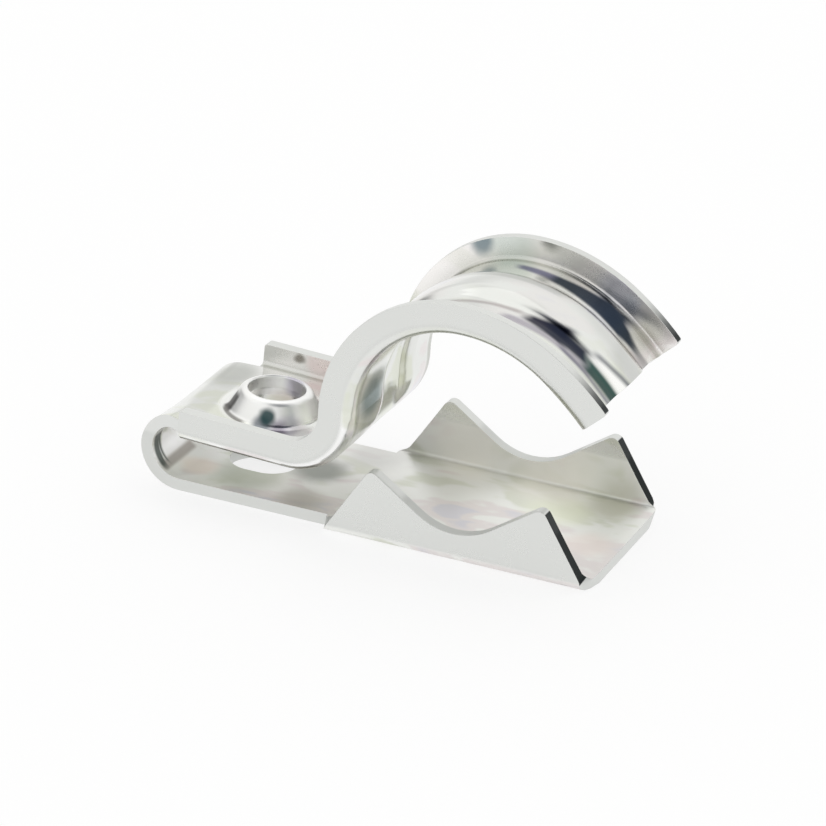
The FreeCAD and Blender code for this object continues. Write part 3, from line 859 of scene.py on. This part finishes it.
# Painted highlight: the collar is painted near white, for the bright gloss of its cone and rim.
plating_and_painted_light = (collar * 0.9).mix(plating_and_painted_light, PALE_PAINTED_LIGHT)
print("olive where the film is thin, pink and then lilac where it is thicker")

# %% [markdown]
# ### Tints and painted light
# Some patches have a place of their own. Some are tints in the film, and some are
# painted light: painted reflections, painted highlights and painted shade. Each is a soft
# round patch with a name, a place in millimetres, its reach, its shade and how strongly
# it covers.

# %% Tints in the film and painted light
TINTS_AND_PAINTED_LIGHT = [
    ("olive by the slot", (-0.7, -4.8, 1.5), 6.0, (0.56, 0.59, 0.50, 1), 0.75),
    ("dark past the slot", (6.0, 0.7, 1.5), 5.0, (0.30, 0.32, 0.29, 1), 0.8),
    ("edge of the plate", (7.5, -8.1, 1.5), 4.5, (0.60, 0.58, 0.52, 1), 0.7),
    ("pink by the fold", (-7.0, -5.5, 1.5), 3.2, (0.93, 0.84, 0.78, 1), 0.8),
    # Painted reflection: a near white patch on the inside of the far arm wall.
    ("painted reflection on the arm wall", (-3.4, 11.0, 11.4), 6.5, (0.98, 0.97, 0.96, 1), 0.9),
    ("yellow in the saddle", (35.6, 4.8, 1.5), 6.0, (0.88, 0.91, 0.76, 1), 0.8),
    ("olive in the saddle", (40.9, 8.6, 2.0), 4.5, (0.70, 0.70, 0.60, 1), 0.8),
    ("pink in the saddle", (41.8, -2.5, 1.5), 4.5, (0.90, 0.82, 0.78, 1), 0.7),
    # Painted reflection: the inside of the far saddle wall is painted a light cream.
    ("painted reflection on the rear of the saddle wall", (21.2, 11.0, 4.5), 7.0, CREAM_PAINTED_REFLECTION, 0.8),
    ("painted reflection on the front of the saddle wall", (32.0, 11.0, 3.5), 8.0, CREAM_PAINTED_REFLECTION, 0.8),
    ("grey past the arm", (10.5, 8.4, 1.5), 6.0, (0.68, 0.68, 0.66, 1), 0.7),
    ("green on the far flange", (24.8, 11.0, 31.2), 4.4, (0.66, 0.72, 0.68, 1), 0.8),
    ("slate on the far flange", (20.9, 11.0, 30.6), 2.2, (0.19, 0.25, 0.28, 1), 0.9),
    ("slate on its top", (29.9, 11.0, 32.4), 1.9, (0.22, 0.23, 0.21, 1), 0.9),
    ("grey along its top", (32.5, 11.0, 31.6), 3.6, (0.62, 0.62, 0.59, 1), 0.7),
    ("lilac on its front", (38.6, 11.0, 28.0), 3.6, (0.80, 0.79, 0.87, 1), 0.85),
    ("slate on its front", (40.4, 11.0, 27.0), 1.9, (0.74, 0.75, 0.82, 1), 0.8),
    ("olive near its end", (43.0, 11.0, 24.4), 2.6, (0.68, 0.67, 0.62, 1), 0.8),
    # Painted shade: a dark teal patch on the pipe side of the riser.
    ("painted teal shade on the riser", (15.4, -6.5, 16.3), 4.5, (0.14, 0.20, 0.20, 1), 0.85),
    ("lilac on the collar", (3.9, -4.4, 9.0), 2.0, (0.72, 0.69, 0.77, 1), 0.8),
    # Painted reflection: a dark spot on the front of the collar, with the shadow and the grey
    # round it.
    ("shadow right of the spot", (3.1, -5.5, 8.8), 1.7, (0.30, 0.27, 0.33, 1), 0.85),
    ("grey under the spot", (0.8, -5.7, 8.9), 1.6, (0.16, 0.18, 0.21, 1), 0.85),
    ("painted dark reflection on the collar", (1.3, -5.0, 9.8), 1.45, (0.03, 0.07, 0.075, 1), 0.95),
    ("brown in the hole", (0.0, 3.0, 7.6), 3.4, (0.56, 0.50, 0.44, 1), 0.8),
    ("lilac in the hole", (1.2, 3.3, 10.2), 2.4, (0.60, 0.57, 0.68, 1), 0.8),
    # Painted highlight: a white patch on the far wall of the hole.
    ("painted highlight in the hole", (-1.9, 3.0, 10.6), 1.3, WHITE, 0.8),
    ("grey behind the collar", (-8.8, 6.5, 9.0), 5.0, (0.54, 0.55, 0.52, 1), 0.8),
    ("white on the rear of the far flange", (14.5, 11.0, 25.0), 5.0, (0.97, 0.95, 0.93, 1), 0.9),
    ("grey by the riser", (5.6, -4.5, 8.4), 2.6, (0.52, 0.51, 0.51, 1), 0.85),
    ("pink on the arm wall", (1.0, 11.0, 10.6), 2.8, (0.93, 0.80, 0.80, 1), 0.9),
    ("brown on the arm wall", (-1.9, 11.0, 10.7), 1.0, (0.16, 0.13, 0.11, 1), 0.9),
]
for label, place, reach, shade, strength in TINTS_AND_PAINTED_LIGHT:
    plating_and_painted_light = (patch(*place, reach) * strength * inside).mix(plating_and_painted_light, shade)
    plating_and_painted_light.socket.node.label = label
print(len(TINTS_AND_PAINTED_LIGHT), "patches of tint and painted light")

# %% [markdown]
# ### The flank of the collar
# The cone of the collar is steep, so it mirrors a dark gap as a narrow wedge, and a thin
# line runs round its foot. Both are drawn by the angle round the bolt, in degrees from
# the arch, and by the distance from it.

# %% Dark flank and foot of the collar
DEGREES = 180 / math.pi
round_bolt = x_mm.maths("ARCTAN2", y_mm, x_mm) * DEGREES
from_bolt = bolt_square.maths("SQRT", bolt_square)
above_flat = z_mm.between(8.3, 8.6)
flank = band(round_bolt + wander * 8, -156, -136, 4) * band(from_bolt, 4.5, 6.1, 0.25)
plating_and_painted_light = (flank * above_flat * 0.92).mix(plating_and_painted_light, (0.07, 0.065, 0.06, 1))
foot_line = band(round_bolt, -150, -104, 6) * band(from_bolt, 5.8, 6.3, 0.15)
plating_and_painted_light = (foot_line * above_flat * 0.85).mix(plating_and_painted_light, (0.20, 0.19, 0.18, 1))
print(len(tree.nodes), "nodes with the flank of the collar")

# %% [markdown]
# ### Inside the hairpin
# The hollow of the hairpin is a small dark room of its own, and its light and dark are
# painted. A bright wedge under a slanting line is a painted reflection, with a brown seam
# below. Towards the near edge, dark streaks of painted shade run round the fold.

# %% Painted reflection and shade inside the hairpin
WEDGE_TOP, WEDGE_SLANT = 1.7, 0.58
in_fold = channel * x_mm.between(-9.2, -9.8)
under_slant = (WEDGE_TOP - y_mm * WEDGE_SLANT - z_mm).between(-0.2, 0.3)
wedge = band(y_mm + wander, -7.5, -2.6, 0.35) * z_mm.between(2.6, 3.1) * under_slant
# Painted reflection: the bright wedge inside the fold.
plating_and_painted_light = (in_fold * wedge).mix(plating_and_painted_light, WHITE)
streaks = noise(0.9, detail=1.0, grain=(0.2, 1, 0.2)).between(0.32, 0.50)
seam = in_fold * band(z_mm, 1.8, 2.8, 0.25) * band(y_mm, -9.6, -1.5, 0.6)
plating_and_painted_light = (seam * 0.75).mix(plating_and_painted_light, (0.38, 0.34, 0.31, 1))
shade_band = in_fold * band(y_mm, -9.5, -7.8, 0.25) * band(z_mm, 2.2, 6.3, 0.4)
# Painted shade: dark streaks round the fold by the near edge.
plating_and_painted_light = (shade_band * streaks * 0.95).mix(plating_and_painted_light, (0.11, 0.13, 0.12, 1))
print(len(tree.nodes), "nodes with the hollow of the hairpin")

# %% [markdown]
# ### Painted light along the rib
# Long bands lie beside the rib, navy in the hollows and pale on the crest. They are
# painted reflections of a room that isn't known, dark bands and pale highlights, with
# painted shade on the far shoulder, drawn into the colour of the plate. A band is known
# by where it lies across the strip and how far round the crown it runs, so one function
# draws any of them, also at a slant. Noise carries the edges out of line.

# %% Painted shade in the bends and painted reflections along the arch
# Painted shade: the inner bends of the arm and the arch are painted darker.
painted_bend_shade = band(abs(y_mm), 10.0, 11.0, 0.3) * (inside - channel) * (1 - cut_face)
plating_and_painted_light = (painted_bend_shade * 0.6).mix(plating_and_painted_light, (0.42, 0.43, 0.38, 1))
over_crown = x_mm.maths("ARCTAN2", x_mm - CROWN_CENTRE[0], z_mm - CROWN_CENTRE[1])
turn = over_crown * DEGREES
wavy = noise(4.0, grain=(0.4, 1, 0.4)) - 0.5


def edge_of(pair, share):
    """The place across the strip of one edge of a line, which may run at a slant."""
    start, end = pair
    return start + share * (end - start)


def painted_light_line(low, high, first, last, soft=0.45, fade=6.0):
    """1 on a line along the arch. Its edges are given across the strip at its two ends."""
    along = turn + wavy * 16
    share = (turn - first) / (last - first)
    across = y_mm + wavy
    past_low = (across - edge_of(low, share)).between(-soft, soft)
    before_high = (edge_of(high, share) - across).between(-soft, soft)
    ends = along.between(first, first + fade) * (1 - along.between(last - fade, last))
    return past_low * before_high * ends * outer_skin


NAVY_PAINTED_REFLECTION = (0.008, 0.025, 0.05, 1)
# Each line is painted light: navy and dark lines are painted reflections, white and bright ones
# painted highlights, grey ones painted shade.
PAINTED_LIGHT_LINES = [
    ("grey over the far shoulder", (1.6, 2.6), (4.8, 5.4), -40, 26, (0.50, 0.51, 0.48, 1), 0.6),
    ("grey under the crest", (-3.6, -3.0), (-1.0, -1.4), -10, 24, (0.66, 0.67, 0.64, 1), 0.6),
    ("grey at the end of the crest", (-0.2, -0.2), (3.8, 3.8), 44, 78, (0.68, 0.69, 0.67, 1), 0.6),
    ("lavender beside the far flange", (8.0, 7.0), (9.1, 8.8), -8, 18, (0.12, 0.12, 0.24, 1), 0.9),
    ("navy beside the far flange", (7.2, 6.0), (8.5, 11.2), 8, 47, NAVY_PAINTED_REFLECTION, 0.98),
    ("navy at its front", (6.3, 6.5), (11.2, 7.6), 29, 55, NAVY_PAINTED_REFLECTION, 0.98),
    ("lilac at the near flange", (-6.6, -5.2), (-5.2, -3.6), 6, 50, (0.34, 0.31, 0.37, 1), 0.75),
    ("brown over the near foot", (-4.6, -3.9), (-4.1, -3.2), -20, 16, (0.36, 0.30, 0.30, 1), 0.75),
    ("navy at the near foot", (-4.5, -4.9), (-3.7, -1.2), 12, 36, (0.02, 0.02, 0.04, 1), 0.98),
    ("navy over the green", (-4.9, -3.9), (-2.5, -2.2), 21, 46, (0.02, 0.025, 0.045, 1), 0.98),
    ("green at the near foot", (-4.9, -4.9), (-2.8, -2.4), 39, 72, (0.02, 0.07, 0.06, 1), 0.96),
    ("white under the crest", (-2.6, -2.8), (-2.2, 0.0), 40, 72, (0.98, 0.98, 0.96, 1), 0.95),
    ("hair at the crest", (-2.3, -0.2), (-1.8, 0.6), 40, 72, (0.10, 0.11, 0.14, 1), 0.85),
    ("hair at the near flange", (-5.6, -5.6), (-5.1, -5.1), 28, 72, (0.12, 0.12, 0.18, 1), 0.85),
    ("dark on the far shoulder", (3.7, 5.2), (4.2, 6.1), 14, 72, (0.05, 0.05, 0.06, 1), 0.9),
    ("grey at the far tip", (5.8, 5.8), (7.6, 7.6), 47, 78, (0.42, 0.43, 0.43, 1), 0.7),
    ("bright by the far foot", (7.8, 7.8), (9.0, 9.0), 46, 78, (0.97, 0.97, 0.95, 1), 0.9),
]
for label, low, high, first, last, shade, strength in PAINTED_LIGHT_LINES:
    plating_and_painted_light = (painted_light_line(low, high, first, last) * strength).mix(plating_and_painted_light, shade)
    plating_and_painted_light.socket.node.label = label
print(len(PAINTED_LIGHT_LINES), "painted light lines")

# %% [markdown]
# ### Cut faces and the fine surface
# The shear leaves the edges duller than the skins. The cut faces that face forward are
# painted dark, as painted shade. The satin comes from two scales of grain, in roughness
# and in bump: one fine as pickling, one as broad as the waves that rolling leaves. The cut
# faces get lines across the sheet, the way a shear tears its last third.

# %% Colour of the skins and the cut faces
SHEARED = (0.77, 0.78, 0.76, 1)
CUT_PAINTED_SHADE = (0.03, 0.035, 0.035, 1)
# Painted shade: cut faces that face forward and a little up are painted nearly black.
painted_cut_shade = faces_x.between(0.60, 0.72) * faces_z.between(0.15, 0.3) * cut_face
colour = cut_face.mix(plating_and_painted_light, painted_cut_shade.mix(SHEARED, CUT_PAINTED_SHADE))
tree.links.new(colour.socket, shader.inputs["Base Color"])
print(len(tree.nodes), "nodes make the colour")

# %% Roughness and bump
SATIN = 0.15
BUMP_DEPTH = 0.01 * MM
grain = noise(0.28, roughness=0.6)
rough = SATIN + outer_wall * 0.13 + channel * 0.24 + collar * 0.22 + far_flange * 0.12
rough = rough + (noise(5.0) - 0.5) * 0.10 + (grain - 0.5) * 0.04 + cut_face * 0.22
tree.links.new(rough.socket, shader.inputs["Roughness"])
shear_lines = noise(0.30, roughness=0.6, grain=(1, 0.12, 1)) * cut_face
relief = grain * 0.04 + noise(1.6) * 0.7 + shear_lines * 1.5
bump = relief.node("ShaderNodeBump",
                   inputs={"Strength": 0.5, "Distance": BUMP_DEPTH, "Height": relief})
tree.links.new(bump.socket, shader.inputs["Normal"])
print(len(tree.nodes), "nodes in the whole finish")

# %% [markdown]
# ## Camera
# A long lens from the right and above, tipped a little, as a catalogue picture is taken.
# The whole clip stays sharp.

# %% Camera
LENS, SENSOR = 169.99, 36.0
CAMERA_PLACE = (0.177907, -0.390961, 0.199930)
CAMERA_DEGREES = (65.987, -2.939, 23.554)
camera_data = bpy.data.cameras.new("camera")
camera_data.sensor_width = SENSOR
camera_data.lens = LENS
camera_data.clip_start = 0.01
camera = bpy.data.objects.new("camera", camera_data)
camera.location = CAMERA_PLACE
camera.rotation_euler = [math.radians(angle) for angle in CAMERA_DEGREES]
bpy.context.scene.collection.objects.link(camera)
bpy.context.scene.camera = camera
bpy.context.scene.view_settings.view_transform = "Standard"
print("lens", LENS, "mm, at", round(camera.location.length, 2), "m from the bolt")

# %% [markdown]
# ## Floor
# White paper lies under the clip. It is plain paper to the light, so the clip keeps its
# soft shadow. To the camera and to the mirror of the plate it also glows a little, and
# that lets the background go white with no more light on the clip.

# %% Floor
PAPER = (0.92, 0.92, 0.92, 1)
GLOW_STRENGTH, GLOW_SHARE = 1.07, 0.72
bpy.ops.object.select_all(action="DESELECT")
bpy.ops.mesh.primitive_plane_add(size=8.0)
floor = bpy.context.object
floor.name = "studio_floor"
paper = bpy.data.materials.new("studio_paper")
paper.use_nodes = True
tree = paper.node_tree
tree.nodes.clear()
ray = add_node(tree, "ShaderNodeLightPath")
seen = ray.maths("MAXIMUM", Wire(tree, ray.socket.node.outputs["Is Camera Ray"]),
                 Wire(tree, ray.socket.node.outputs["Is Glossy Ray"]))
seen = seen.maths("MAXIMUM", seen, Wire(tree, ray.socket.node.outputs["Is Transmission Ray"]))
matt = add_node(tree, "ShaderNodeBsdfDiffuse", inputs={"Color": PAPER})
glow = add_node(tree, "ShaderNodeEmission", inputs={"Color": WHITE, "Strength": GLOW_STRENGTH})
both = add_node(tree, "ShaderNodeMixShader", inputs={0: seen * GLOW_SHARE, 1: matt, 2: glow})
output = tree.nodes.new("ShaderNodeOutputMaterial")
tree.links.new(both.socket, output.inputs[0])
floor.data.materials.append(paper)
print("paper", round(floor.dimensions.x, 1), "m wide")

# %% [markdown]
# ## The room that the plate mirrors
# Bright metal shows its surroundings and little else. The room is a pale tent with a
# belt a shade darker above the horizon, one dark opening overhead and one behind the
# fold. These two give the plate its dark reflections.

# %% World
BELT_LOW, BELT_HIGH, BELT_SHADE = 0.16, 0.40, 0.17
OVERHEAD = (0.34, -0.30, 0.89)
BEHIND_FOLD = (-0.96, 0.22, 0.10)
world = bpy.data.worlds.new("studio")
bpy.context.scene.world = world
world.use_nodes = True
tree = world.node_tree
tree.nodes.clear()
way = add_node(tree, "ShaderNodeTexCoord", out="Generated")


def toward(direction):
    """1 straight towards this direction, and less the further off."""
    aim = Vector(direction).normalized()
    return add_node(tree, "ShaderNodeVectorMath", {"operation": "DOT_PRODUCT"}, "Value",
                    {0: way, 1: aim})


up = add_node(tree, "ShaderNodeSeparateXYZ", out="Z", inputs={0: way})
level = 1.0 - band(up, BELT_LOW, BELT_HIGH, 0.08) * BELT_SHADE
sky = level.mix((0, 0, 0, 1), (1.0, 1.0, 0.99, 1))
dark_room = toward(OVERHEAD).between(0.90, 0.955)
sky = dark_room.mix(sky, (0.03, 0.04, 0.065, 1))
dark_door = toward(BEHIND_FOLD).between(0.90, 0.97)
sky = (dark_door * 0.8).mix(sky, (0.08, 0.085, 0.09, 1))
glow = add_node(tree, "ShaderNodeBackground", inputs={"Color": sky, "Strength": 1.0})
output = tree.nodes.new("ShaderNodeOutputWorld")
tree.links.new(glow.socket, output.inputs[0])
print(len(tree.nodes), "nodes in the room")

# %% [markdown]
# ## Lamps
# A large softbox above gives the shadow its soft edge. It is weak, as the tent does most
# of the work, and so its own mirror image does not burn out on the rib.

# %% Lamps
SOFTBOX_PLACE, SOFTBOX_AIM = (-0.22, 0.25, 0.95), (0.015, 0, 0.01)
SOFTBOX_SIDE, SOFTBOX_WATTS = 0.7, 0.3


def softbox(name, place, aim, size, power):
    """Adds a square lamp at a place, turned to face a point."""
    data = bpy.data.lights.new(name, "AREA")
    data.shape = "SQUARE"
    data.size = size
    data.energy = power
    lamp = bpy.data.objects.new(name, data)
    lamp.location = place
    lamp.rotation_euler = (Vector(aim) - Vector(place)).to_track_quat("-Z", "Y").to_euler()
    bpy.context.scene.collection.objects.link(lamp)


softbox("top_softbox", SOFTBOX_PLACE, SOFTBOX_AIM, SOFTBOX_SIDE, SOFTBOX_WATTS)
print("one softbox of", SOFTBOX_SIDE, "m and", SOFTBOX_WATTS, "watts")
